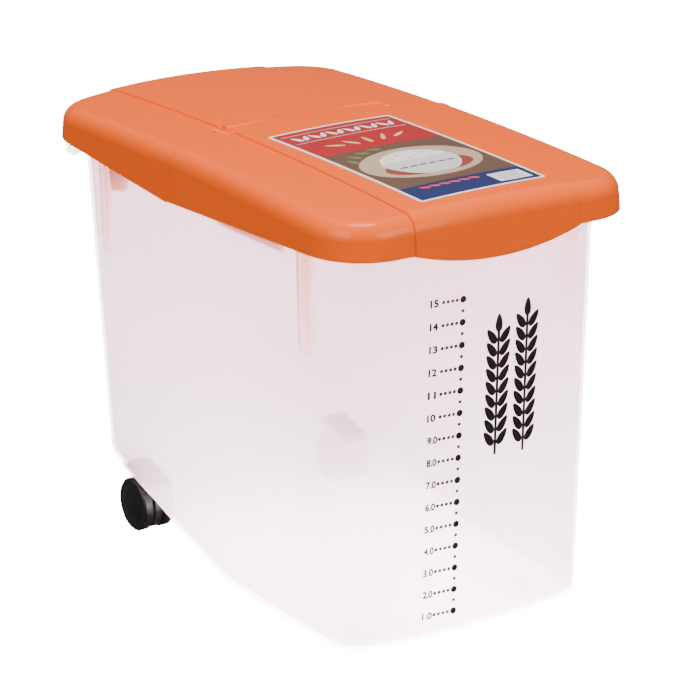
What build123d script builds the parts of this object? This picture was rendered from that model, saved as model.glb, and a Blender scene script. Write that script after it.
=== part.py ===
from build123d import *
import math
import os

# Wheeled grain bin with a two-piece lid. +Z is up, the measuring scale faces -Y, and the origin
# is on the floor below the middle of the lid. Every length is in millimetres.

# ---- Tub: a drafted thin-walled box whose rear floor slopes up over the wheels ----
base_height = 12.0          # flat floor above the ground
tub_half_width = 110.0      # at the flat floor, halfway along
tub_front = 197.5           # centre of the front wall at the flat floor, in front of the origin
tub_rear = 168.5            # centre of the rear wall at the flat floor, behind the origin
side_draft = 0.0221         # how far each wall leans out per millimetre of height
front_draft = 0.0064
rear_draft = 0.071
side_bow = 6.3              # how far each wall curves out past its ends
front_bow = 10.8
rear_bow = 8.0
tub_corner = 30.0
tub_wall = 2.2
slope_start = 34.3          # the rear floor starts to rise this far in front of the origin
slope_angle = 13.64
slope_blend = 60.0
floor_blend = 5.0

# ---- Rim of the tub: a flat flange with a lip turned down at its edge ----
rim_top = 318.0
flange_thick = 2.0
rim_gap = 1.3               # between the lip and the inside of the lid's skirt
lip_wall = 2.0
side_lip_drop = 11.0
rear_lip_drop = 23.0
rear_lip_length = 75.1      # the deeper lip runs this far forward from the lid's rear
rear_lip_ramp = 22.0

# ---- Raised stiffening pads on the tub's walls, below the rim ----
pad_raise = 1.5
pad_length = 94.0           # down from the top of the rim
pad_width = 15.0
side_pads = (-148.0, 131.0)
rear_pad_place = 89.0

# ---- Two drawn feet under the front of the floor ----
foot_side_inset = 48.0      # from the tub's side and front walls to a foot's middle
foot_front_inset = 47.5
foot_radius = 14.0
foot_flare = 3.0

# ---- Lid, shared by the fixed rear cover and the flip lid ----
lid_side_reach = 7.06       # how far the skirt stands out past the tub's walls, at its middle height
lid_front_reach = 14.79
lid_rear_reach = 24.306
lid_front_bow = 2.0
lid_rear_bow = 22.0
lid_front_corner = 42.0
lid_rear_corner = 40.0
skirt_middle_rise = 8.0     # above the top of the rim
skirt_draft = 0.07
lid_rise = 20.5             # the top of the dome above the top of the rim
crown_drop_x = 4.8          # fall of the top from the centre to the side edge
crown_drop_y = 6.0          # fall of the top from the centre to the front edge
shoulder = 13.0
lid_wall = 2.2
band_half_width = 67.5      # raised band along the middle of the lid
band_raise = 1.0
skirt_rear_drop = 10.7      # the skirt's lower edge below the top of the rim, at the rear,
skirt_seam_drop = 22.3      # at the seam between the two lids,
skirt_front_drop = 13.0     # and at the front corners
skirt_rear_turn_inset = 20.1
cover_drop = 0.8            # the rear cover sits this much lower than the flip lid
bevel_shoulder = 6.3        # bevel that stands for the shoulder inside the lids
groove_width = 0.9          # groove beside the raised band
groove_depth = 0.5
skirt_front_turn_inset = 36.3
pull_lip_half_width = 69.0  # the curved pull lip at the front
pull_lip_drop = 23.6

# ---- Seam, tongue and hinge ----
seam_place = 15.6
seam_gap = 0.4
seat_gap = 0.3
tongue_side_gap = 1.0       # from the band's edge to the tongue's side
notch_play = 6.5            # from the tongue's side to the notch's side
hinge_place = 32.2
knuckle_radius = 6.0
knuckle_wall = 2.2
hinge_sweep_gap = 1.8       # between the knuckle and the cover's edge
pin_radius = 2.5
pin_play = 0.07
pin_stop_gap = 0.6
pin_bevel = 0.5
ear_wall = 2.4
ear_drop = 19.0             # depth of the cover's turned-down edge
ledge_reach = 6.0
ledge_side_gap = 18.0       # from the skirt to the ledge's end
ledge_thick = 2.0

# ---- Ribs under the lids ----
rib_thick = 1.8
rest_rib_gap = 2.3          # between the skirt's inside and the rib that rests on the rim
plug_gap = 2.0              # between the tub's inside and the rib that drops into it
plug_depth = 18.0
front_tab_depth = 29.0
front_tab_span = (-117.0, -31.0)
rear_tab_depth = 44.0
rear_tab_span = (97.0, 139.0)
rear_tab_taper = 10.0
front_tab_taper = 2.0
rear_tab_skew = 4.0
rib_sink = 0.8              # how far the ribs' tops reach into the lids
plug_end_gap = 8.0          # between the ends of the ribs and the seam

# ---- Label on the flip lid ----
label_width = 108.0
label_length = 183.0
label_shift = 0.9
label_front_inset = 114.4   # from the lid's front edge to the label's middle
label_turn = 2.6
label_corner = 3.0
label_thick = 0.2
label_glue = 0.1            # between the lid and the sheet

# ---- Fixed twin-wheel casters ----
wheel_radius = 21.0
wheel_width = 8.0
wheel_edge = 1.2
cap_radius = 16.0           # raised cap on the wheel's outer face: a steep ring and a flatter middle
cap_ring_radius = 10.0
cap_top_radius = 3.0
cap_ring_height = 1.8
cap_height = 2.7
hub_radius = 5.5
web_thick = 2.6
tyre_wall = 3.0
gate_radius = 1.0
gate_height = 0.3
caster_side_inset = 19.0    # from the tub's side and rear walls to a caster's middle
caster_rear_inset = 49.8
wheel_side_gap = 1.1
housing_width = 7.8
housing_ground_gap = 1.0
neck_length = 30.0
axle_radius = 2.5
axle_play = 0.05
axle_press_play = 0.01
axle_end_gap = 0.4
axle_bevel = 0.4
housing_edge = 1.0
plate_width = 19.0
plate_length = 40.0
plate_thick = 2.8
plate_corner = 2.0
plate_play = 0.2
rail_web = 2.0
rail_lip = 2.6
rail_lip_thick = 1.8
rail_stop = 2.0

# ---- Values that follow from the sizes above ----
skirt_middle = rim_top + skirt_middle_rise
skirt_climb = skirt_middle - base_height
lid_top = rim_top + lid_rise
lid_half_width = tub_half_width + side_draft * skirt_climb + lid_side_reach
lid_front = tub_front + front_draft * skirt_climb + lid_front_reach
lid_rear = tub_rear + rear_draft * skirt_climb + lid_rear_reach
skirt_rear_edge = rim_top - skirt_rear_drop
skirt_seam_edge = rim_top - skirt_seam_drop
skirt_front_edge = rim_top - skirt_front_drop
skirt_rear_turn = lid_rear - skirt_rear_turn_inset
skirt_front_turn = lid_front - skirt_front_turn_inset
pull_lip_edge = rim_top - pull_lip_drop
rear_lip_start = lid_rear - rear_lip_length
pad_bottom = rim_top - pad_length
tongue_half_width = band_half_width - tongue_side_gap
notch_half_width = tongue_half_width + notch_play
ledge_half_width = lid_half_width - ledge_side_gap
foot_place_x = tub_half_width - foot_side_inset
foot_place_y = tub_front - foot_front_inset
caster_place_x = tub_half_width - caster_side_inset
caster_place_y = tub_rear - caster_rear_inset
slope_sine = math.sin(math.radians(slope_angle))
slope_cosine = math.cos(math.radians(slope_angle))
slope_rise = slope_sine / slope_cosine
slope_over_axle = base_height + slope_rise * (caster_place_y + slope_start)
axle_drop = (slope_over_axle - wheel_radius) * slope_cosine     # from the slope to the axle
crown_radius_x = lid_half_width**2 / (2 * crown_drop_x)
crown_radius_y = lid_front**2 / (2 * crown_drop_y)
crown_reach = 1.2           # how far the domed surface runs past the lid, as a share of it
rim_under = rim_top - flange_thick
hinge_height = lid_top + band_raise - crown_drop_y * (hinge_place / lid_front)**2 - knuckle_radius
cover_edge = hinge_place + knuckle_radius + hinge_sweep_gap
reach = 2 * (lid_front + lid_rear)      # longer than the whole bin, for cutting tools
rib_floor = rim_top - rear_tab_depth - plug_depth
wheel_offset = housing_width / 2 + wheel_side_gap + wheel_width / 2


def bowed_outline(half_width, front, rear, bows, corners, height):
    """Closed plan outline at one height: four bowed sides and rounded corners."""
    side, near, far = bows
    corner_x = half_width - side
    middle = (rear - front) / 2
    front_left = (-corner_x, near - front)
    front_right = (corner_x, near - front)
    rear_right = (corner_x, rear - far)
    rear_left = (-corner_x, rear - far)
    front_edge = ThreePointArc(front_left, (0, -front), front_right)
    if side > 0:
        right_edge = ThreePointArc(front_right, (half_width, middle), rear_right)
        left_edge = ThreePointArc(rear_left, (-half_width, middle), front_left)
    else:
        right_edge = Line(front_right, rear_right)
        left_edge = Line(rear_left, front_left)
    rear_edge = ThreePointArc(rear_right, (0, rear), rear_left)
    face = make_face(Curve() + [front_edge, right_edge, rear_edge, left_edge])
    by_depth = face.vertices().sort_by(Axis.Y)
    face = fillet(by_depth[:2], corners[0])
    face = fillet(face.vertices().sort_by(Axis.Y)[-2:], corners[1])
    return Pos(0, 0, height) * face


def tub_outline(height, inset):
    """The tub's plan at one height, drawn in by inset."""
    climb = height - base_height
    half_width = tub_half_width + side_draft * climb - inset
    front = tub_front + front_draft * climb - inset
    rear = tub_rear + rear_draft * climb - inset
    corner = tub_corner - inset
    return bowed_outline(half_width, front, rear, (side_bow, front_bow, rear_bow),
                         (corner, corner), height)


def lid_outline(height, grow):
    """The lid's plan at one height, grown outward by grow."""
    flare = skirt_draft * (skirt_middle - height) + grow
    return bowed_outline(lid_half_width + flare, lid_front + flare, lid_rear + flare,
                         (0, lid_front_bow, lid_rear_bow),
                         (lid_front_corner + grow, lid_rear_corner + grow), height)


def tub_column(inset, low, high):
    """Drafted column that follows the tub's walls."""
    return loft([tub_outline(low, inset), tub_outline(high, inset)], ruled=True)


def outer_edges(faces):
    """Edges that only one of the faces owns."""
    edges = [edge for face in faces for edge in face.edges()]
    return [edge for edge in edges if sum(edge.is_same(other) for other in edges) == 1]


def side_prism(points, half_width):
    """A (y, z) outline pushed out to both sides of the middle plane."""
    outline = Plane.YZ * make_face(Polyline(*points, close=True))
    return extrude(outline, half_width, both=True)


def slope_height(depth, lift):
    """Height of the sloped floor at one depth, raised square to itself by lift."""
    return base_height + slope_rise * (depth + slope_start) + lift / slope_cosine


def tub_block(inset, top):
    """Solid block with the flat floor, the sloped rear floor and rounded floor edges."""
    floor = base_height + inset
    block = tub_column(inset, floor, top)
    flat_end = (floor - slope_height(0, inset)) / slope_rise
    wedge = side_prism([(flat_end, floor), (reach, slope_height(reach, inset)),
                        (reach, -reach), (flat_end, -reach)], reach)
    block = block - wedge
    crease = block.edges().filter_by(Axis.X).filter_by(
        lambda edge: abs(edge.center().Y - flat_end) < 1)
    block = fillet(crease, slope_blend - inset)
    floors = block.faces().filter_by(lambda face: face.normal_at().Z < -0.9)
    if inset > 0:
        return chamfer(outer_edges(floors), floor_blend - inset)
    return fillet(outer_edges(floors), floor_blend)


def make_pads():
    """Raised pads down the side and rear walls, as one cutter shape."""
    tall = rim_top - pad_bottom
    middle = (rim_top + pad_bottom) / 2
    blank = Box(2 * reach, pad_width, tall)
    side_blank = fillet(blank.edges().filter_by(Axis.X).group_by(Axis.Z)[0], pad_width / 3)
    pads = Part() + [Pos(0, place, middle) * side_blank for place in side_pads]
    blank = Box(pad_width, reach, tall)
    rear_blank = fillet(blank.edges().filter_by(Axis.Y).group_by(Axis.Z)[0], pad_width / 3)
    return pads + [Pos(side * rear_pad_place, tub_rear + reach / 2 - pad_width, middle) * rear_blank
                   for side in (-1, 1)]


def make_rim():
    """Flange and turned-down lip, with the lip deeper round the rear."""
    lip_low = rim_top - rear_lip_drop
    inside = -(lid_wall + rim_gap)
    block = loft([lid_outline(lip_low, inside), lid_outline(rim_top, inside)], ruled=True)
    hollow = loft([lid_outline(lip_low, inside - lip_wall), lid_outline(rim_under, inside - lip_wall)],
                  ruled=True)
    side_low = rim_top - side_lip_drop
    trim = side_prism([(-reach, side_low), (rear_lip_start, side_low),
                       (rear_lip_start + rear_lip_ramp, lip_low), (rear_lip_start + rear_lip_ramp, 0),
                       (-reach, 0)], reach)
    return block - hollow - trim


def foot(inset):
    """One drawn foot, or its hollow."""
    low = inset
    high = base_height + inset
    cone = Cone(foot_radius - inset, foot_radius + foot_flare - inset, high - low,
                align=(Align.CENTER, Align.CENTER, Align.MIN))
    return Pos(0, -foot_place_y, low) * cone


def slope_frame(side):
    """Frame on the underside of the sloped floor, square above one caster's axle."""
    depth = caster_place_y - axle_drop * slope_sine
    return Plane(origin=(side * caster_place_x, depth, slope_height(depth, 0)), x_dir=(1, 0, 0),
                 z_dir=(0, -slope_sine, slope_cosine))


def make_rails(side):
    """Two hooked rails and a stop that hold one caster's plate under the sloped floor."""
    slot_half = plate_width / 2 + plate_play
    slot_depth = plate_thick + 2 * plate_play
    depth = slot_depth + rail_lip_thick
    block = Box(2 * (slot_half + rail_web), plate_length + 2 * rail_stop, depth + tub_wall / 2,
                align=(Align.CENTER, Align.CENTER, Align.MAX))
    block = Pos(0, 0, tub_wall / 2) * block
    slot = Box(2 * slot_half, plate_length + 4 * rail_stop, slot_depth,
               align=(Align.CENTER, Align.CENTER, Align.MAX))
    mouth = Box(2 * (slot_half - rail_lip), plate_length + 8 * rail_stop, 2 * depth,
                align=(Align.CENTER, Align.CENTER, Align.MAX))
    rails = block - Pos(0, 2 * rail_stop - plate_play, 0) * slot
    rails = rails - Pos(0, 4 * rail_stop - plate_play, 0) * mouth
    return slope_frame(side) * rails


def make_container():
    """Tub with rim, pads, feet and caster rails, hollowed from above: one half and its mirror image."""
    pads = tub_column(-pad_raise, pad_bottom, rim_under) & make_pads()
    solid = tub_block(0, rim_top) + pads + make_rim() + make_rails(-1)
    solid = solid + Pos(-foot_place_x, 0, 0) * foot(0)
    solid = solid - tub_block(tub_wall, rim_top + 1) - Pos(-foot_place_x, 0, 0) * foot(tub_wall)
    half = solid & Box(reach, reach, reach, align=(Align.MAX, Align.CENTER, Align.CENTER))
    return half + mirror(half, Plane.YZ)


def crown(lift):
    """Block under the lid's gently domed top, raised by lift."""
    peak = lid_top + lift
    edge_x = lid_half_width * crown_reach
    edge_height = peak - crown_radius_x + math.sqrt(crown_radius_x**2 - edge_x**2)
    floor = rib_floor
    arc = ThreePointArc((-edge_x, edge_height), (0, peak), (edge_x, edge_height))
    sides = Polyline((edge_x, edge_height), (edge_x, floor), (-edge_x, floor), (-edge_x, edge_height))
    profile = Plane.XZ * make_face(arc + sides)
    axis = Axis((0, 0, lid_top - crown_radius_y), (1, 0, 0))
    half_sweep = math.degrees(math.asin(lid_rear * crown_reach / crown_radius_y))
    return revolve(profile.rotate(axis, -half_sweep), axis, 2 * half_sweep)


def lid_block(grow):
    """Solid block with the lid's skirt, shoulder and domed top; inner ones have a bevelled shoulder."""
    walls = loft([lid_outline(rim_top - rear_tab_depth, grow), lid_outline(lid_top + shoulder, grow)],
                 ruled=True)
    block = walls & crown(grow)
    top = block.faces().sort_by(Axis.Z)[-1]
    if grow < -groove_depth:
        return chamfer(top.edges(), bevel_shoulder)
    return fillet(top.edges(), shoulder + grow)


def skirt_trim():
    """Everything below the skirt's lower edge, leaving the curved pull lip at the front."""
    below = side_prism([(-reach, skirt_front_edge), (-skirt_front_turn, skirt_front_edge),
                        (seam_place, skirt_seam_edge), (skirt_rear_turn, skirt_rear_edge),
                        (reach, skirt_rear_edge), (reach, 0), (-reach, 0)], reach)
    arc = ThreePointArc((-pull_lip_half_width, skirt_front_edge), (0, pull_lip_edge),
                        (pull_lip_half_width, skirt_front_edge))
    top = Polyline((pull_lip_half_width, skirt_front_edge), (pull_lip_half_width, lid_top),
                   (-pull_lip_half_width, lid_top), (-pull_lip_half_width, skirt_front_edge))
    lip = extrude(Plane.XZ * make_face(arc + top), reach)
    return below - Pos(0, -(lid_front - lid_front_corner), 0) * lip


def make_lid_shell():
    """Hollow shell of the whole lid, with the raised band and a groove on each side of it."""
    band = Box(2 * band_half_width, reach, 3 * reach)
    groove = Box(2 * (band_half_width + groove_width), reach, 3 * reach) - band
    outer = lid_block(0) - (groove - lid_block(-groove_depth)) + (lid_block(band_raise) & band)
    return outer - lid_block(-lid_wall) - skirt_trim()


def make_ribs(inner):
    """Rib that rests on the rim and rib that drops inside the tub, under both lids."""
    rest = -(lid_wall + rest_rib_gap)
    low = rim_top + seat_gap
    ring = loft([lid_outline(low, rest), lid_outline(lid_top, rest)], ruled=True)
    core = loft([lid_outline(low, rest - rib_thick), lid_outline(lid_top, rest - rib_thick)],
                ruled=True)
    plug_inset = tub_wall + plug_gap
    plug = tub_column(plug_inset, rib_floor, lid_top)
    plug_core = tub_column(plug_inset + rib_thick, rib_floor, lid_top)
    plug_low = rim_top - plug_depth
    front_low = rim_top - front_tab_depth
    rear_low = rim_top - rear_tab_depth
    front_start, front_end = front_tab_span
    rear_start, rear_end = rear_tab_span
    below = side_prism([(-reach, plug_low), (front_start, plug_low),
                        (front_start + front_tab_taper, front_low), (front_end - front_tab_taper, front_low),
                        (front_end, plug_low), (rear_start, plug_low),
                        (rear_start + rear_tab_taper, rear_low + rear_tab_skew),
                        (rear_end - rear_tab_taper, rear_low), (rear_end, plug_low),
                        (reach, plug_low), (reach, 0), (-reach, 0)], reach)
    return (ring - core + (plug - plug_core - below)) & inner


def zone(low, high, half_width, floor):
    """Box between two depths, from a floor to above the lid."""
    box = Box(2 * half_width, high - low, reach, align=(Align.CENTER, Align.MIN, Align.MIN))
    return Pos(0, low, floor) * box


def make_flip_lid(shell, ribs):
    """Front lid with its tongue, curled knuckle and two stub pins."""
    edge = seam_place - seam_gap / 2
    axis = Pos(0, hinge_place, hinge_height) * Rot(0, 90, 0)
    lid = shell & (zone(-reach, edge, reach, 0)
                   + zone(0, hinge_place, tongue_half_width, hinge_height - knuckle_radius))
    lid = lid + (ribs & zone(-reach, edge - plug_end_gap, reach, 0))
    knuckle = Cylinder(knuckle_radius, 2 * tongue_half_width)
    bore = Cylinder(knuckle_radius - knuckle_wall, 2 * (tongue_half_width - knuckle_wall))
    slot = Box(2 * knuckle_radius, knuckle_radius, 2 * (tongue_half_width - knuckle_wall),
               align=(Align.MIN, Align.CENTER, Align.CENTER))
    knuckle = axis * (knuckle - bore) - Pos(0, hinge_place - knuckle_radius, hinge_height) * Box(
        2 * (tongue_half_width - knuckle_wall), 2 * (knuckle_radius - knuckle_wall), 2 * knuckle_radius,
        align=(Align.CENTER, Align.CENTER, Align.MAX))
    lid = lid + knuckle
    pin_length = notch_half_width + ear_wall - tongue_half_width + knuckle_wall - pin_stop_gap
    for side in (-1, 1):
        middle = side * (tongue_half_width - knuckle_wall + pin_length / 2)
        pin = Cylinder(pin_radius, pin_length)
        pin = chamfer(pin.edges().sort_by(Axis.Z)[-1 if side > 0 else 0], pin_bevel)
        lid = lid + Pos(middle, hinge_place, hinge_height) * Rot(0, 90, 0) * pin
    return lid


def make_rear_cover(shell, ribs):
    """Fixed rear lid with its notch, turned-down edge, hinge ears and the ledge for the seam."""
    edge = seam_place + seam_gap / 2
    wall_low = hinge_height + knuckle_radius - ear_drop
    notch = zone(-reach, cover_edge, notch_half_width, 0)
    cover = (Pos(0, 0, -cover_drop) * shell & zone(edge, reach, reach, 0)) - notch
    cover = cover + (ribs & zone(edge + plug_end_gap, reach, reach, 0))
    front_wall = zone(edge, edge + ear_wall, ledge_half_width, wall_low)
    notch_wall = zone(edge, cover_edge + ear_wall, notch_half_width + ear_wall, wall_low)
    skin = crown(-cover_drop - lid_wall / 2)
    cover = cover + ((front_wall + notch_wall - notch) & skin)
    ledge = zone(edge - ledge_reach, edge + ear_wall, ledge_half_width, 0) - notch - zone(
        -reach, reach, notch_half_width + ear_wall / 2, 0)
    ledge_top = -lid_wall - seat_gap
    cover = cover + (ledge & (crown(ledge_top) - crown(ledge_top - ledge_thick)))
    bore = Cylinder(pin_radius + pin_play, 2 * (notch_half_width + ear_wall + 1))
    return cover - Pos(0, hinge_place, hinge_height) * Rot(0, 90, 0) * bore


def make_label():
    """Thin sheet that follows the domed band."""
    outline = RectangleRounded(label_width, label_length, label_corner)
    middle = Pos(label_shift, label_front_inset - lid_front, hinge_height - shoulder)
    column = middle * Rot(0, 0, label_turn) * extrude(outline, 4 * shoulder)
    under = band_raise + label_glue
    return column & (crown(under + label_thick) - crown(under))


def make_wheel(side):
    """One wheel about its own middle, with its cap on the side that side points to."""
    half = wheel_width / 2
    disc = Cylinder(wheel_radius, wheel_width)
    disc = chamfer(disc.edges(), wheel_edge)
    foot_up = (Align.CENTER, Align.CENTER, Align.MIN)
    ring = Cone(cap_radius, cap_ring_radius, cap_ring_height, align=foot_up)
    top = Cone(cap_ring_radius, cap_top_radius, cap_height - cap_ring_height, align=foot_up)
    gate = Cylinder(gate_radius, cap_height + gate_height, align=foot_up)
    cap = Pos(0, 0, half) * (ring + Pos(0, 0, cap_ring_height) * top + gate)
    recess = Cylinder(wheel_radius - tyre_wall, wheel_width - web_thick) - Cylinder(
        hub_radius, wheel_width)
    bore = Cylinder(axle_radius + axle_play, wheel_width,
                    align=(Align.CENTER, Align.CENTER, Align.MAX))
    wheel = disc + cap - Pos(0, 0, -web_thick / 2) * recess
    wheel = wheel - Pos(0, 0, half - web_thick / 2) * bore
    return Rot(0, 90 * side, 0) * wheel


def make_housing(side):
    """Caster housing: sliding plate, neck and round web that carries the axle."""
    frame = slope_frame(side)
    seat = -plate_play
    plate = Box(plate_width, plate_length, plate_thick, align=(Align.CENTER, Align.CENTER, Align.MAX))
    plate = fillet(plate.edges().filter_by(Axis.Z), plate_corner)
    neck = Box(housing_width, neck_length, axle_drop - wheel_radius / 2,
               align=(Align.CENTER, Align.CENTER, Align.MAX))
    disc = Cylinder(wheel_radius - housing_ground_gap, housing_width)
    disc = chamfer(disc.edges(), housing_edge)
    bore = Cylinder(axle_radius + axle_press_play, 2 * housing_width)
    centre = Pos(side * caster_place_x, caster_place_y, wheel_radius) * Rot(0, 90, 0)
    housing = frame * (Pos(0, 0, seat) * plate + Pos(0, 0, seat - plate_thick / 2) * neck)
    return housing + centre * disc - centre * bore


def make_axle(side):
    """Steel pin that both wheels of one caster turn on."""
    reach_each_side = wheel_offset + wheel_width / 2 - web_thick / 2 - axle_end_gap
    pin = Cylinder(axle_radius, 2 * reach_each_side)
    pin = chamfer(pin.edges(), axle_bevel)
    return Pos(side * caster_place_x, caster_place_y, wheel_radius) * Rot(0, 90, 0) * pin


def save(shape, name):
    """Write one piece under its own name."""
    solids = shape.solids()
    piece = solids[0] if len(solids) == 1 else shape
    piece.label = name
    export_step(piece, os.path.join("parts", name + ".step"))
    print(name, len(solids), "solid", round(shape.volume / 1000, 1), "cm3")


def main():
    os.makedirs("parts", exist_ok=True)
    save(make_container(), "container")
    shell = make_lid_shell()
    ribs = make_ribs(lid_block(rib_sink - lid_wall))
    save(make_flip_lid(shell, ribs), "flip_lid")
    save(make_rear_cover(shell, ribs), "rear_cover")
    save(make_label(), "lid_label")
    for side, name in ((-1, "left"), (1, "right")):
        save(make_housing(side), "caster_housing_" + name)
        save(make_axle(side), "caster_axle_" + name)
        centre = side * caster_place_x
        for turn, place in ((side, "outer"), (-side, "inner")):
            wheel = Pos(centre + turn * wheel_offset, caster_place_y, wheel_radius) * make_wheel(turn)
            save(wheel, place + "_wheel_" + name)


if __name__ == "__main__":
    main()
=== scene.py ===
import math

import bpy
from bpy.props import FloatProperty, FloatVectorProperty, PointerProperty
from bpy.types import Operator, Panel, PropertyGroup
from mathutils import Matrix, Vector


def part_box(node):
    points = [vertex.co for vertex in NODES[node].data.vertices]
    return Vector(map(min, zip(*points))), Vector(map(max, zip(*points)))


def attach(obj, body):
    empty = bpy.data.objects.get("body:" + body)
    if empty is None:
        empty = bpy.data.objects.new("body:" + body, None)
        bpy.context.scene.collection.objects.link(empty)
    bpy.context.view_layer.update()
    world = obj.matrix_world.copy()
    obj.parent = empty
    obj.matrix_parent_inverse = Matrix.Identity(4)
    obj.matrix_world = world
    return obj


bl_info = {
    "name": "Grain Bin",
    "version": (1, 0, 0),
    "blender": (4, 5, 0),
    "location": "View3D > Sidebar > Grain Bin",
    "description": "Finishes a wheeled grain bin with a flip lid: plastics, scale, label and studio",
    "category": "Object",
}

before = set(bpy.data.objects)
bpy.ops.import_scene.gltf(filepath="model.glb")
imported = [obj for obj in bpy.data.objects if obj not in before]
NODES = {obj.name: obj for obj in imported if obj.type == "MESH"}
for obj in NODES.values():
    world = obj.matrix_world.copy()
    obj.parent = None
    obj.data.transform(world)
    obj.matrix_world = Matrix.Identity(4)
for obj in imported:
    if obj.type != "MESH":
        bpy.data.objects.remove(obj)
MM = 0.001
WELD = 0.001 * MM                   # corners nearer than this are one corner

# The printed scale, in millimetres from the middle of its first mark
MARKS = 15                          # whole kilograms
BIG_DOT = 5.0
SMALL_DOT = 2.6
ROW_DOTS = (-4.9, -8.5, -12.2, -15.8)
FIGURE_HEIGHT = 5.5
SHORT_FIGURE = (6.6, -19.6)         # width and right edge of 10 to 15
LONG_FIGURE = (8.0, -17.6)          # width and right edge of 1.0 to 9.0
STROKE_GROWTH = 0.042               # a figure's outline grows by this share of its type size
EARS = ((56.0, 110.0, 221.0), (31.0, 112.0, 212.0))     # each ear's place across, low and high end
EAR_STEP = 9.4
EAR_GRAIN = (7.6 * MM, 13.2 * MM)
EAR_GRAIN_OUT = 5.9
EAR_GRAIN_UP = 3.2
EAR_TOP_UP = 3.0
EAR_TILT = math.radians(36)
STEM_WIDTH = 2.2
PRINT_START = 0.02                  # metres before the wall, from where the flat print is laid on it
INK_LIFT = 0.16 * MM                # the ink's middle stands this far off the wall's facets
INK_THICKNESS = 0.04 * MM

# The label's layers of ink
INK_FILM = 0.012 * MM
CUTTER_DEPTH = 40.0 * MM
CUTTER_START = 10.0 * MM            # a cutter starts this far below the label

# The raised pads on the tub's sides, and the orange glow painted into them
PADS = (-148.0 * MM, 131.0 * MM)    # their middles, along the tub
PAD_HALF = 6.5 * MM
PAD_FADE = 1.5 * MM
PAD_LENGTH = 94.0 * MM
PAD_LOW_GLOW = 0.25                 # share of the painted orange glow at a pad's lower end
PAD_OUTER = 0.8                     # a wall further out than this share of the half width is a side wall

# The bead on the flip lid's rear edge
SEAM = 15.6 * MM                    # the seam between the two lids lies this far behind the middle
BAND_SIDE = 68.5 * MM               # the bead starts beside the raised band
BEAD_WIDTH = 3.0 * MM
BEAD_HEIGHT = 0.45 * MM
BEAD_SETBACK = 0.4 * MM
BEAD_OVERHANG = 0.5 * MM            # the bead's rear edge closes the sight through the seam
BEAD_CENTRE_DROP = 60.0 * MM        # outwards means away from a point this far below the lid's top
OUTER_FACE = 0.3                    # least cosine between an outer face's normal and outwards
CUT_FACE = 0.7                      # a normal more lengthwise than this is a cut's or an edge's

# The studio's area lights: name, place, size in metres and power in watts
LAMPS = (("key", (-1.9, -0.6, 1.7), 1.5, 36.0),
         ("top", (0.2, 0.3, 2.3), 0.6, 18.0),
         ("front", (0.5, -2.2, 1.3), 1.4, 37.0))
LAMP_AIM = Vector((0, 0, 0.18))
PANEL_PLACE = (0, -0.08, -0.02)
PANEL_SHARE = (0.75, 0.55)          # of the tub's width and length
FLOOR_SIZE = 60.0


def linear(hex_colour):
    """An sRGB hex colour as linear red, green and blue."""
    channels = [int(hex_colour[i:i + 2], 16) / 255 for i in (0, 2, 4)]
    return tuple(c / 12.92 if c <= 0.04045 else ((c + 0.055) / 1.055) ** 2.4 for c in channels)


def opaque(colour):
    """A colour property as red, green, blue and full alpha."""
    return (colour[0], colour[1], colour[2], 1.0)


# ---------------------------------------------------------------- settings

class TubSettings(PropertyGroup):
    milk_colour: FloatVectorProperty(
        name="Milky colour", description="Colour of the natural polypropylene of the tub",
        subtype="COLOR", default=linear("F3ECF0"))
    # Painted light: the lid's orange glow in the raised pads is painted as this warmer colour
    pad_painted_glow_colour: FloatVectorProperty(
        name="Pad colour", description="Warmer colour of the thick raised pads under the lid",
        subtype="COLOR", default=linear("F0BDBB"))
    clearness: FloatProperty(
        name="Clearness", description="Share of light that passes straight through a wall",
        subtype="FACTOR", default=0.5, min=0.0, max=1.0)


class LidSettings(PropertyGroup):
    orange: FloatVectorProperty(
        name="Orange", description="Colour of the pigmented polypropylene of both lids",
        subtype="COLOR", default=linear("FF6100"))


class PrintSettings(PropertyGroup):
    ink: FloatVectorProperty(
        name="Ink", description="Colour of the printed scale",
        subtype="COLOR", default=linear("0E0C0E"))
    mark_step: FloatProperty(
        name="Mark step", description="Height of one kilogram on the scale",
        subtype="DISTANCE", unit="LENGTH", default=16.5 * MM)
    first_mark: FloatVectorProperty(
        name="First mark", description="Middle of the lowest mark, across and up",
        subtype="TRANSLATION", unit="LENGTH", size=2, default=(-21.1 * MM, 30.9 * MM))
    lean: FloatProperty(
        name="Lean", description="Turn of the whole print on the wall",
        subtype="ANGLE", default=math.radians(0.97))


class LabelSettings(PropertyGroup):
    place: FloatVectorProperty(
        name="Place", description="Middle of the label, across and along the lid",
        subtype="TRANSLATION", unit="LENGTH", size=2, default=(0.9 * MM, -99.9 * MM))
    turn: FloatProperty(
        name="Turn", description="How crooked the label is stuck on",
        subtype="ANGLE", default=math.radians(2.6))
    film: FloatVectorProperty(
        name="Film", description="Colour of the bare film at the border", subtype="COLOR",
        default=linear("F1EEEE"))
    red: FloatVectorProperty(
        name="Red", description="Colour of the rear field", subtype="COLOR", default=linear("AC1822"))
    navy: FloatVectorProperty(
        name="Navy", description="Colour of the front field", subtype="COLOR", default=linear("182258"))


class StudioSettings(PropertyGroup):
    camera_place: FloatVectorProperty(
        name="Camera place", description="Where the camera stands",
        subtype="TRANSLATION", unit="LENGTH", default=(-1.0843, -1.6893, 0.8683))
    camera_target: FloatVectorProperty(
        name="Camera target", description="The point in the middle of the picture",
        subtype="TRANSLATION", unit="LENGTH", default=(0.0015, -0.0299, 0.17205))
    focal_length: FloatProperty(
        name="Focal length", description="Focal length in millimetres on a 36 mm sensor",
        default=146.15, min=20.0)
    tent_light: FloatProperty(
        name="Tent light", description="Strength of the soft white light, most of it from above",
        default=0.7, min=0.0)
    table_power: FloatProperty(
        name="Table power", description="Power in watts of the lit table under the bin",
        default=13.0, min=0.0)
    white_light: FloatProperty(
        name="White light", description="Strength of the lit white table and wall that the camera sees",
        default=20.0, min=0.0)


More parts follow.
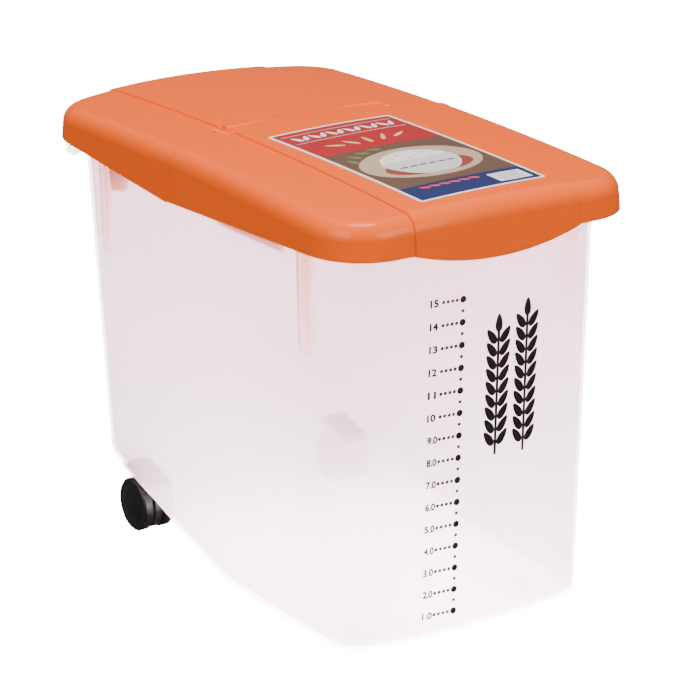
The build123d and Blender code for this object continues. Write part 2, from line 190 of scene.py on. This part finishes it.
# ---------------------------------------------------------------- materials

def new_material(name):
    """An empty node material with its output node."""
    material = bpy.data.materials.new(name)
    material.use_nodes = True
    material.node_tree.nodes.clear()
    output = material.node_tree.nodes.new("ShaderNodeOutputMaterial")
    return material, output


def add_node(material, kind, links=(), sockets=(), **settings):
    """Adds a node, sets its settings and socket values, and links (socket, source) pairs."""
    node = material.node_tree.nodes.new(kind)
    for key, value in settings.items():
        setattr(node, key, value)
    for name, value in sockets:
        node.inputs[name].default_value = value
    for name, source in links:
        material.node_tree.links.new(source, node.inputs[name])
    return node


def object_coordinates(material):
    return add_node(material, "ShaderNodeTexCoord").outputs["Object"]


def pad_painted_glow(material, coordinates, settings):
    """The milky colour, warmer in the raised pads: a painted orange glow. The lid's light that the thick
    plastic carries down is painted into the colour, strongest near the lid and fading towards the pads'
    lower ends.
    """
    place = add_node(material, "ShaderNodeSeparateXYZ", [("Vector", coordinates)])
    side = add_node(material, "ShaderNodeMath", [(0, place.outputs["X"])], operation="ABSOLUTE")
    nearest = None
    for middle in PADS:
        shift = add_node(material, "ShaderNodeMath", [(0, place.outputs["Y"])], [(1, middle)],
                         operation="SUBTRACT")
        gap = add_node(material, "ShaderNodeMath", [(0, shift.outputs[0])], operation="ABSOLUTE")
        if nearest is None:
            nearest = gap
        else:
            nearest = add_node(material, "ShaderNodeMath",
                               [(0, nearest.outputs[0]), (1, gap.outputs[0])], operation="MINIMUM")
    low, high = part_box("container")
    inside = add_node(material, "ShaderNodeMapRange", [("Value", nearest.outputs[0])],
                      [("From Min", PAD_HALF), ("From Max", PAD_HALF + PAD_FADE),
                       ("To Min", 1.0), ("To Max", 0.0)])
    climb = add_node(material, "ShaderNodeMapRange", [("Value", place.outputs["Z"])],
                     [("From Min", high.z - PAD_LENGTH), ("From Max", high.z),
                      ("To Min", PAD_LOW_GLOW), ("To Max", 1.0)])
    above = add_node(material, "ShaderNodeMath", [(0, place.outputs["Z"])], [(1, high.z - PAD_LENGTH)],
                     operation="GREATER_THAN")
    outer = add_node(material, "ShaderNodeMath", [(0, side.outputs[0])], [(1, PAD_OUTER * high.x)],
                     operation="GREATER_THAN")
    share = inside.outputs["Result"]
    for factor in (climb.outputs["Result"], above.outputs[0], outer.outputs[0]):
        product = add_node(material, "ShaderNodeMath", [(0, share), (1, factor)], operation="MULTIPLY")
        share = product.outputs[0]
    # The mix paints the lid's orange glow onto the milky colour inside the pads
    milk_and_painted_glow = add_node(material, "ShaderNodeMix", (), data_type="RGBA")
    material.node_tree.links.new(share, milk_and_painted_glow.inputs[0])
    milk_and_painted_glow.inputs[6].default_value = opaque(settings.milk_colour)
    milk_and_painted_glow.inputs[7].default_value = opaque(settings.pad_painted_glow_colour)
    return milk_and_painted_glow.outputs[2]


def milky_polypropylene(settings):
    """Natural polypropylene, injection moulded: milky and satin, with what is behind dimly seen. Its
    slow ripple is the melt's flow, about 110 mm from wave to wave."""
    material, output = new_material("milky_polypropylene")
    coordinates = object_coordinates(material)
    flow = add_node(material, "ShaderNodeTexNoise", [("Vector", coordinates)],
                    [("Scale", 9.0), ("Detail", 2.0)])
    ripple = add_node(material, "ShaderNodeBump", [("Height", flow.outputs["Fac"])],
                      [("Strength", 0.08), ("Distance", 0.002)])
    # The pads get a painted orange glow, which stands in for the lid's light carried down the thick
    # plastic
    milk_and_painted_glow = pad_painted_glow(material, coordinates, settings)
    body = add_node(material, "ShaderNodeBsdfPrincipled",
                    [("Normal", ripple.outputs["Normal"]), ("Base Color", milk_and_painted_glow)],
                    [("Roughness", 0.32), ("IOR", 1.49), ("Specular IOR Level", 0.45)])
    glow = add_node(material, "ShaderNodeBsdfTranslucent",
                    [("Normal", ripple.outputs["Normal"]), ("Color", milk_and_painted_glow)])
    clear = add_node(material, "ShaderNodeBsdfTransparent", [("Color", milk_and_painted_glow)])
    milk = add_node(material, "ShaderNodeMixShader", (), [("Fac", 0.5)])
    links = material.node_tree.links
    links.new(body.outputs["BSDF"], milk.inputs[1])
    links.new(glow.outputs["BSDF"], milk.inputs[2])
    wall = add_node(material, "ShaderNodeMixShader", (), [("Fac", settings.clearness)])
    links.new(milk.outputs["Shader"], wall.inputs[1])
    links.new(clear.outputs["BSDF"], wall.inputs[2])
    links.new(wall.outputs["Shader"], output.inputs["Surface"])
    return material


def orange_polypropylene(settings):
    """Pigmented polypropylene, injection moulded: a saturated matt body under a thin satin skin,
    whose slow ripple is the melt's flow, about 70 mm from wave to wave."""
    material, output = new_material("orange_polypropylene")
    coordinates = object_coordinates(material)
    flow = add_node(material, "ShaderNodeTexNoise", [("Vector", coordinates)],
                    [("Scale", 14.0), ("Detail", 3.0)])
    ripple = add_node(material, "ShaderNodeBump", [("Height", flow.outputs["Fac"])],
                      [("Strength", 0.06), ("Distance", 0.001)])
    body = add_node(material, "ShaderNodeBsdfPrincipled", [("Normal", ripple.outputs["Normal"])],
                    [("Base Color", opaque(settings.orange)), ("Roughness", 0.27), ("IOR", 1.49),
                     ("Specular IOR Level", 0.06), ("Coat Weight", 0.25), ("Coat Roughness", 0.14)])
    material.node_tree.links.new(body.outputs["BSDF"], output.inputs["Surface"])
    return material


def plain_plastic(name, colour, roughness, level=0.5):
    """A moulded or printed plastic surface of one colour, with a fine texture in its gloss. The texture
    is drawn about 1 mm coarse, coarser than the real one, so that it shows."""
    material, output = new_material(name)
    coordinates = object_coordinates(material)
    grain = add_node(material, "ShaderNodeTexNoise", [("Vector", coordinates)],
                     [("Scale", 900.0), ("Detail", 2.0)])
    bump = add_node(material, "ShaderNodeBump", [("Height", grain.outputs["Fac"])],
                    [("Strength", 0.12), ("Distance", 0.0002)])
    body = add_node(material, "ShaderNodeBsdfPrincipled", [("Normal", bump.outputs["Normal"])],
                    [("Base Color", opaque(colour)), ("Roughness", roughness), ("IOR", 1.5),
                     ("Specular IOR Level", level)])
    material.node_tree.links.new(body.outputs["BSDF"], output.inputs["Surface"])
    return material


def drawn_steel():
    """Bright drawn steel wire: the die leaves fine lines along the pin, here 0.25 mm apart."""
    material, output = new_material("drawn_steel_wire")
    along = add_node(material, "ShaderNodeMapping", [("Vector", object_coordinates(material))],
                     [("Scale", (0.02, 1.0, 1.0))])
    lines = add_node(material, "ShaderNodeTexNoise", [("Vector", along.outputs["Vector"])],
                     [("Scale", 4000.0), ("Detail", 1.0)])
    bump = add_node(material, "ShaderNodeBump", [("Height", lines.outputs["Fac"])],
                    [("Strength", 0.2), ("Distance", 0.0001)])
    body = add_node(material, "ShaderNodeBsdfPrincipled", [("Normal", bump.outputs["Normal"])],
                    [("Base Color", opaque(linear("C8C8CC"))), ("Metallic", 1.0), ("Roughness", 0.3)])
    material.node_tree.links.new(body.outputs["BSDF"], output.inputs["Surface"])
    return material


# ---------------------------------------------------------------- modelling helpers

def only(piece):
    """Selects one piece alone and makes it active."""
    bpy.ops.object.select_all(action="DESELECT")
    piece.select_set(True)
    bpy.context.view_layer.objects.active = piece


def settle(piece):
    """Puts a piece's place into its mesh."""
    only(piece)
    bpy.ops.object.transform_apply(location=True, rotation=True, scale=True)


def apply_modifier(piece, kind, **settings):
    """Adds one modifier and applies it."""
    only(piece)
    modifier = piece.modifiers.new(kind.title(), kind)
    for key, value in settings.items():
        setattr(modifier, key, value)
    bpy.ops.object.modifier_apply(modifier=modifier.name)


def join(pieces, name):
    """Joins pieces into one with that name."""
    bpy.ops.object.select_all(action="DESELECT")
    for piece in pieces:
        piece.select_set(True)
    bpy.context.view_layer.objects.active = pieces[0]
    if len(pieces) > 1:
        bpy.ops.object.join()
    joined = bpy.context.object
    joined.name = name
    return joined


def copy_of(piece, place):
    """A copy of a piece with its own mesh, at another place."""
    twin = piece.copy()
    twin.data = piece.data.copy()
    twin.location = place
    bpy.context.scene.collection.objects.link(twin)
    return twin


def merged_copy(name, node):
    """A copy of a CAD node's mesh with its loose triangles merged."""
    piece = bpy.data.objects.new(name, NODES[node].data.copy())
    bpy.context.scene.collection.objects.link(piece)
    only(piece)
    bpy.ops.object.mode_set(mode="EDIT")
    bpy.ops.mesh.select_all(action="SELECT")
    bpy.ops.mesh.remove_doubles(threshold=WELD)
    bpy.ops.object.mode_set(mode="OBJECT")
    return piece


def keep_between(piece, low, high):
    """Cuts a mesh down to the slab between two places along the bin."""
    only(piece)
    bpy.ops.object.mode_set(mode="EDIT")
    for place, above in ((low, False), (high, True)):
        bpy.ops.mesh.select_all(action="SELECT")
        bpy.ops.mesh.bisect(plane_co=(0, place, 0), plane_no=(0, 1, 0),
                            clear_outer=above, clear_inner=not above)
    bpy.ops.object.mode_set(mode="OBJECT")


def disc(place, size, sides):
    """A flat filled oval, size wide and high, lying level."""
    bpy.ops.object.select_all(action="DESELECT")
    bpy.ops.mesh.primitive_circle_add(vertices=sides, radius=0.5, fill_type="NGON",
                                      location=(place[0], place[1], 0))
    piece = bpy.context.object
    piece.scale = (size[0], size[1], 1)
    settle(piece)
    return piece


def bar(place, size):
    """A flat rectangle, size wide and high, lying level."""
    bpy.ops.object.select_all(action="DESELECT")
    bpy.ops.mesh.primitive_plane_add(size=1.0, location=(place[0], place[1], 0))
    piece = bpy.context.object
    piece.scale = (size[0], size[1], 1)
    settle(piece)
    return piece


def grain(place, size, turn=0.0):
    """A flat grain: an oval that narrows towards its far end."""
    piece = disc((0, 0), size, 28)
    for vertex in piece.data.vertices:
        along = vertex.co.y / size[1] + 0.5
        vertex.co.x *= 1.0 - 0.45 * along
    piece.rotation_euler = (0, 0, turn)
    piece.location = (place[0], place[1], 0)
    settle(piece)
    return piece


def half_oval(place, size, upper):
    """The upper or lower half of a flat oval."""
    piece = disc(place, (size[0], 2 * size[1]), 48)
    only(piece)
    bpy.ops.object.mode_set(mode="EDIT")
    bpy.ops.mesh.select_all(action="SELECT")
    bpy.ops.mesh.bisect(plane_co=(place[0], place[1], 0), plane_no=(0, 1, 0),
                        clear_inner=upper, clear_outer=not upper)
    bpy.ops.object.mode_set(mode="OBJECT")
    return piece


def dress(names, material):
    """Gives CAD nodes one material."""
    for name in names:
        slots = NODES[name].data.materials
        slots.clear()
        slots.append(material)


# ---------------------------------------------------------------- operators

class BIN_OT_finish_tub(Operator):
    """Give the tub its milky polypropylene"""
    bl_idname = "grain_bin.finish_tub"
    bl_label = "Finish Tub"

    def execute(self, context):
        dress(["container"], milky_polypropylene(context.scene.bin_tub))
        return {"FINISHED"}


class BIN_OT_finish_lids(Operator):
    """Give the flip lid and the rear cover their orange polypropylene"""
    bl_idname = "grain_bin.finish_lids"
    bl_label = "Finish Lids"

    def execute(self, context):
        dress(["flip_lid", "rear_cover"], orange_polypropylene(context.scene.bin_lid))
        return {"FINISHED"}


class BIN_OT_bead_edges(Operator):
    """Round the flip lid's edge at the seam with a thin bead on each side of the raised band"""
    bl_idname = "grain_bin.bead_edges"
    bl_label = "Bead Edges"

    def execute(self, context):
        seam = edge_bead("seam_bead", "flip_lid", SEAM - BEAD_WIDTH, SEAM - BEAD_SETBACK, BAND_SIDE)
        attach(seam, "lid")
        return {"FINISHED"}


class BIN_OT_finish_casters(Operator):
    """Give the casters their black nylon and steel"""
    bl_idname = "grain_bin.finish_casters"
    bl_label = "Finish Casters"

    def execute(self, context):
        # Black polyamide, injection moulded: nearly black, with a dull sheen along the treads
        nylon = plain_plastic("black_nylon", linear("131012"), 0.46)
        steel = drawn_steel()
        for side in ("left", "right"):
            dress(["outer_wheel_" + side, "inner_wheel_" + side, "caster_housing_" + side], nylon)
            dress(["caster_axle_" + side], steel)
        return {"FINISHED"}


def edge_bead(name, node, low, high, inner_side):
    """A thin rounded bead on a lid's outer surface, between two places along the lid. At the sides and
    the top it is kept inside the lid's own box."""
    bead = merged_copy(name, node)
    keep_between(bead, low, high)
    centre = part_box(node)[1].z - BEAD_CENTRE_DROP
    for face in bead.data.polygons:
        place, normal = face.center, face.normal
        outward = normal.x * place.x + normal.z * (place.z - centre)
        inner_face = outward <= OUTER_FACE * math.hypot(place.x, place.z - centre)
        cut_face = abs(normal.y) > CUT_FACE
        face.select = inner_face or cut_face or abs(place.x) < inner_side
    bpy.ops.object.mode_set(mode="EDIT")
    bpy.ops.mesh.select_mode(type="FACE")
    bpy.ops.mesh.delete(type="FACE")
    bpy.ops.object.mode_set(mode="OBJECT")
    apply_modifier(bead, "SOLIDIFY", thickness=BEAD_HEIGHT * 2, offset=0.0)
    apply_modifier(bead, "BEVEL", width=BEAD_HEIGHT * 0.8, segments=2, angle_limit=math.radians(50))
    lowest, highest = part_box(node)
    for vertex in bead.data.vertices:
        if vertex.co.y > high - BEAD_HEIGHT:
            vertex.co.y += BEAD_OVERHANG
        vertex.co.x = min(max(vertex.co.x, lowest.x), highest.x)
        vertex.co.z = min(vertex.co.z, highest.z)
    only(bead)
    bpy.ops.object.shade_smooth_by_angle(angle=math.radians(40))
    bead.data.materials.clear()
    bead.data.materials.append(NODES[node].data.materials[0])
    return bead


def print_on_front(pieces, name, ink, settings):
    """Lays flat shapes on the tub's front wall as one film of ink. They come lying level, with the
    scale's first mark at the origin."""
    film = join(pieces, name)
    settle(film)
    film.rotation_euler = (math.radians(90), 0, 0)
    settle(film)
    film.rotation_euler = (0, settings.lean, 0)
    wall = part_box("container")[0].y
    film.location = (settings.first_mark[0], wall - PRINT_START, settings.first_mark[1])
    settle(film)
    apply_modifier(film, "SHRINKWRAP", target=NODES["container"], wrap_method="PROJECT",
                   use_project_x=False, use_project_y=True, use_project_z=False,
                   use_negative_direction=False, use_positive_direction=True, offset=INK_LIFT)
    apply_modifier(film, "SOLIDIFY", thickness=INK_THICKNESS, offset=0.0)
    film.data.materials.clear()
    film.data.materials.append(ink)
    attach(film, "bin")


class BIN_OT_print_scale(Operator):
    """Print the dots and the numbers of the kilogram scale on the front wall"""
    bl_idname = "grain_bin.print_scale"
    bl_label = "Print Scale"

    def execute(self, context):
        settings = context.scene.bin_print
        # Screen-printing ink: an even near-black film, duller than the plastic round it
        ink = plain_plastic("printing_ink", settings.ink, 0.45)
        step = settings.mark_step
        big = disc((0, 0), (BIG_DOT * MM, BIG_DOT * MM), 40)
        small = disc((0, 0), (SMALL_DOT * MM, SMALL_DOT * MM), 24)
        dots = []
        for mark in range(MARKS):
            dots.append(copy_of(big, (0, mark * step, 0)))
            if mark < MARKS - 1:
                dots.append(copy_of(small, (0, (mark + 0.5) * step, 0)))
            dots += [copy_of(small, (across * MM, mark * step, 0)) for across in ROW_DOTS]
        for pattern in (big, small):
            bpy.data.objects.remove(pattern)
        print_on_front(dots, "scale_dots", ink, settings)
        figures = []
        for mark in range(MARKS):
            kilograms = mark + 1
            text = "%d.0" % kilograms if kilograms < 10 else "%d" % kilograms
            width, right = LONG_FIGURE if kilograms < 10 else SHORT_FIGURE
            figures.append(self.figure(text, width * MM, right * MM, mark * step))
        print_on_front(figures, "scale_numbers", ink, settings)
        return {"FINISHED"}

    def figure(self, text, width, right, height):
        """One number as a flat mesh, scaled to its width, its right edge and middle at the given place.
        Its strokes grow by a bevel, of which only the upper half is kept and pressed flat."""
        bpy.ops.object.select_all(action="DESELECT")
        bpy.ops.object.text_add(location=(0, 0, 0))
        number = bpy.context.object
        number.data.body = text
        number.data.bevel_depth = STROKE_GROWTH
        number.data.bevel_resolution = 0
        bpy.ops.object.convert(target="MESH")
        number = bpy.context.object
        bpy.ops.object.mode_set(mode="EDIT")
        bpy.ops.mesh.select_all(action="SELECT")
        bpy.ops.mesh.bisect(plane_co=(0, 0, -STROKE_GROWTH / 50), plane_no=(0, 0, 1),
                            clear_inner=True)
        bpy.ops.mesh.select_all(action="SELECT")
        bpy.ops.mesh.remove_doubles(threshold=STROKE_GROWTH / 100)
        bpy.ops.object.mode_set(mode="OBJECT")
        for vertex in number.data.vertices:
            vertex.co.z = 0.0
        across = [vertex.co.x for vertex in number.data.vertices]
        up = [vertex.co.y for vertex in number.data.vertices]
        span_x, span_y = max(across) - min(across), max(up) - min(up)
        scale_x, scale_y = width / span_x, FIGURE_HEIGHT * MM / span_y
        number.scale = (scale_x, scale_y, 1)
        middle = (max(up) + min(up)) / 2 * scale_y
        number.location = (right - max(across) * scale_x, height - middle, 0)
        settle(number)
        return number


class BIN_OT_print_ears(Operator):
    """Print two plain ears of grain beside the scale"""
    bl_idname = "grain_bin.print_ears"
    bl_label = "Print Ears"

    def execute(self, context):
        settings = context.scene.bin_print
        ink = bpy.data.materials["printing_ink"]
        shapes = []
        for across, low, high in EARS:
            pairs = int((high - low) / EAR_STEP)
            for pair in range(pairs):
                height = (low + pair * EAR_STEP) * MM
                shapes.append(bar((across * MM, height + EAR_STEP * MM / 2),
                                  (STEM_WIDTH * MM, EAR_STEP * MM)))
                if pair == 0:
                    continue
                for side in (-1, 1):
                    place = ((across + side * EAR_GRAIN_OUT) * MM, height + EAR_GRAIN_UP * MM)
                    shapes.append(grain(place, EAR_GRAIN, -side * EAR_TILT))
            shapes.append(grain((across * MM, (low + pairs * EAR_STEP + EAR_TOP_UP) * MM), EAR_GRAIN))
        print_on_front(shapes, "grain_ears", ink, settings)
        return {"FINISHED"}


def print_on_label(pieces, name, colour, layer, settings):
    """Cuts flat shapes out of a copy of the label's sheet, lifted by one film of ink for each layer."""
    cutter = join(pieces, name + "_cutter")
    settle(cutter)
    bpy.ops.object.mode_set(mode="EDIT")
    bpy.ops.mesh.select_all(action="SELECT")
    bpy.ops.mesh.extrude_region_move(TRANSFORM_OT_translate={"value": (0, 0, CUTTER_DEPTH)})
    bpy.ops.mesh.select_all(action="SELECT")
    bpy.ops.mesh.normals_make_consistent(inside=False)
    bpy.ops.object.mode_set(mode="OBJECT")
    cutter.rotation_euler = (0, 0, settings.turn)
    cutter.location = (settings.place[0], settings.place[1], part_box("lid_label")[0].z - CUTTER_START)
    settle(cutter)
    film = merged_copy(name, "lid_label")
    film.location = (0, 0, layer * INK_FILM)
    settle(film)
    apply_modifier(film, "BOOLEAN", operation="INTERSECT", solver="EXACT", object=cutter)
    bpy.data.objects.remove(cutter)
    film.data.materials.clear()
    film.data.materials.append(plain_plastic(name + "_ink", colour, 0.3, 0.3))
    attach(film, "lid")


class BIN_OT_finish_label(Operator):
    """Give the label its film and its printed picture of a bowl on a round cloth"""
    bl_idname = "grain_bin.finish_label"
    bl_label = "Finish Label"

    def execute(self, context):
        settings = context.scene.bin_label
        # Polypropylene label film, printed: near-white at its border, with a broad soft sheen
        dress(["lid_label"], plain_plastic("label_film", settings.film, 0.3, 0.3))

        def place(u, v):
            return (u * MM, v * MM)

        fields = [("label_rear_field", 1, settings.red, [bar(place(0, 57), place(103, 64))]),
                  ("label_picture_field", 1, linear("624636"), [bar(place(0, -19), place(103, 88))]),
                  ("label_front_field", 1, settings.navy, [bar(place(0, -76.2), place(103, 26.4))])]
        cloth = disc(place(0, -20), place(96, 66), 64)
        fields.append(("label_cloth", 2, linear("BFA287"), [cloth]))
        mat = disc(place(0, -30), place(72, 34), 48)
        fields.append(("label_mat", 3, linear("8E3B30"), [mat]))
        bowl = half_oval(place(0, -14), place(62, 34), False)
        fields.append(("label_bowl", 4, linear("D9D2CC"), [bowl]))
        fields.append(("label_bowl_foot", 5, linear("B9A79A"), [bar(place(0, -47.5), place(22, 4))]))
        stripe = [grain(place(-20 + 8 * i, -27), place(3.2, 7.0), math.radians(90)) for i in range(6)]
        fields.append(("label_bowl_stripe", 5, linear("2C3870"), stripe))
        heap = half_oval(place(0, -14), place(56, 20), True)
        fields.append(("label_heap", 4, linear("F3EEE4"), [heap]))
        rice = [grain(place(-21 + 6.2 * i, -10 + 4.4 * (i % 3)), place(2.2, 5.6), math.radians(47 * i))
                for i in range(8)]
        fields.append(("label_rice", 5, linear("C9B695"), rice))
        leaves = [grain(place(u, v), place(5.0, 11.0), math.radians(turn))
                  for u, v, turn in ((-41, 4, 20), (-34, 12, 35), (-24, 17, 55), (-12, 20, 70))]
        fields.append(("label_leaves", 5, linear("6E7B4C"), leaves))
        title = [grain(place(-41 + 7.5 * i, 72), place(5.2, 11.0), math.radians(-24 if i % 2 else 24))
                 for i in range(12)]
        fields.append(("label_rear_row", 2, linear("F3ECEB"), title))
        lines = [bar(place(0, v), place(96, 1.0)) for v in (82, 62)]
        fields.append(("label_rear_lines", 3, linear("E3B9A8"), lines))
        sprays = [grain(place(-28 + 14 * i, 44), place(4.4, 15), math.radians(30 * (2 - i)))
                  for i in range(5)]
        fields.append(("label_spray", 2, linear("E7C07A"), sprays))
        ribbon = [grain(place(-34 + 8.4 * i, -69), place(4.4, 8.6), math.radians(70)) for i in range(6)]
        fields.append(("label_front_row", 2, linear("D8434A"), ribbon))
        fields.append(("label_panel", 2, linear("ECE9EA"), [bar(place(33, -77), place(28, 17))]))
        rules = [bar(place(33, -71.5 - 3.6 * i), place(22 - 4 * (i % 2), 0.9)) for i in range(4)]
        fields.append(("label_panel_lines", 3, linear("6A6670"), rules))
        for name, layer, colour, shapes in fields:
            print_on_label(shapes, name, colour, layer, settings)
        return {"FINISHED"}


class BIN_OT_add_studio(Operator):
    """Add the floor, the soft lights and the camera"""
    bl_idname = "grain_bin.add_studio"
    bl_label = "Add Studio"

    def execute(self, context):
        settings = context.scene.bin_studio
        bpy.ops.object.select_all(action="DESELECT")
        bpy.ops.mesh.primitive_plane_add(size=FLOOR_SIZE, location=(0, 0, 0))
        floor = context.object
        floor.name = "studio_floor"
        floor.data.materials.append(self.lit_table(settings.white_light))
        floor.visible_diffuse = floor.visible_glossy = floor.visible_shadow = False
        context.scene.world = self.light_tent(settings.tent_light, settings.white_light)
        self.table_panel(settings.table_power)
        for name, place, size, power in LAMPS:
            bpy.ops.object.light_add(type="AREA", location=place)
            lamp = context.object
            lamp.name = "studio_" + name
            lamp.data.size = size
            lamp.data.energy = power
            aim = LAMP_AIM - Vector(place)
            lamp.rotation_euler = aim.to_track_quat("-Z", "Y").to_euler()
        place = Vector(settings.camera_place)
        aim = Vector(settings.camera_target) - place
        bpy.ops.object.camera_add(location=place)
        camera = context.object
        camera.rotation_euler = aim.to_track_quat("-Z", "Y").to_euler()
        camera.data.sensor_fit = "HORIZONTAL"
        camera.data.sensor_width = 36.0
        camera.data.lens = settings.focal_length
        context.scene.camera = camera
        return {"FINISHED"}

    def lit_table(self, strength):
        """White acrylic of a light table, lit from below: plain white behind the bin, with no shadow.
        The floor is set to light nothing itself."""
        material, output = new_material("white_acrylic_table")
        sheet = add_node(material, "ShaderNodeEmission", (),
                         [("Color", (1, 1, 1, 1)), ("Strength", strength)])
        material.node_tree.links.new(sheet.outputs["Emission"], output.inputs["Surface"])
        return material

    def table_panel(self, power):
        """The lit part of the table under the bin. Its light comes up through the milky floor, and falls
        on the tub alone."""
        low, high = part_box("container")
        bpy.ops.object.light_add(type="AREA", location=PANEL_PLACE, rotation=(math.pi, 0, 0))
        panel = bpy.context.object
        panel.name = "studio_table_panel"
        panel.data.shape = "RECTANGLE"
        panel.data.size = PANEL_SHARE[0] * (high.x - low.x)
        panel.data.size_y = PANEL_SHARE[1] * (high.y - low.y)
        panel.data.energy = power
        lit_pieces = bpy.data.collections.new("lit_from_the_table")
        lit_pieces.objects.link(NODES["container"])
        panel.light_linking.receiver_collection = lit_pieces

    def light_tent(self, strength, white):
        """White light, mostly from above. The plain white wall behind the bin is for the camera alone
        and lights nothing."""
        world = bpy.data.worlds.new("light_tent")
        world.use_nodes = True
        coordinates = add_node(world, "ShaderNodeTexCoord")
        height = add_node(world, "ShaderNodeSeparateXYZ", [("Vector", coordinates.outputs["Generated"])])
        level = add_node(world, "ShaderNodeMapRange", [("Value", height.outputs["Z"])],
                         [("From Min", 0.35), ("From Max", 0.8), ("To Min", 0.22 * strength),
                          ("To Max", 2.1 * strength)])
        path = add_node(world, "ShaderNodeLightPath")
        seen = add_node(world, "ShaderNodeMix", (), data_type="FLOAT")
        world.node_tree.links.new(path.outputs["Is Camera Ray"], seen.inputs[0])
        world.node_tree.links.new(level.outputs["Result"], seen.inputs[2])
        seen.inputs[3].default_value = white
        background = world.node_tree.nodes["Background"]
        background.inputs["Color"].default_value = (1, 1, 1, 1)
        world.node_tree.links.new(seen.outputs[0], background.inputs["Strength"])
        return world


class BIN_PT_panel(Panel):
    """The bin's pieces and settings"""
    bl_idname = "BIN_PT_panel"
    bl_label = "Grain Bin"
    bl_space_type = "VIEW_3D"
    bl_region_type = "UI"
    bl_category = "Grain Bin"

    def draw(self, context):
        layout = self.layout
        scene = context.scene
        layout.prop(scene.bin_tub, "milk_colour")
        layout.prop(scene.bin_tub, "clearness")
        layout.prop(scene.bin_lid, "orange")
        layout.prop(scene.bin_print, "ink")
        for operator in OPERATORS:
            layout.operator(operator.bl_idname)


OPERATORS = (BIN_OT_finish_tub, BIN_OT_finish_lids, BIN_OT_bead_edges, BIN_OT_finish_casters,
             BIN_OT_print_scale, BIN_OT_print_ears, BIN_OT_finish_label, BIN_OT_add_studio)
GROUPS = {"bin_tub": TubSettings, "bin_lid": LidSettings, "bin_print": PrintSettings,
          "bin_label": LabelSettings, "bin_studio": StudioSettings}


def register():
    for group in GROUPS.values():
        bpy.utils.register_class(group)
    for name, group in GROUPS.items():
        setattr(bpy.types.Scene, name, PointerProperty(type=group))
    for operator in OPERATORS:
        bpy.utils.register_class(operator)
    bpy.utils.register_class(BIN_PT_panel)


def unregister():
    bpy.utils.unregister_class(BIN_PT_panel)
    for operator in reversed(OPERATORS):
        bpy.utils.unregister_class(operator)
    for name in GROUPS:
        delattr(bpy.types.Scene, name)
    for group in GROUPS.values():
        bpy.utils.unregister_class(group)


def main():
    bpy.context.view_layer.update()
    register()
    for operator in OPERATORS:
        group, name = operator.bl_idname.split(".")
        getattr(getattr(bpy.ops, group), name)()


if __name__ == "__main__":
    main()
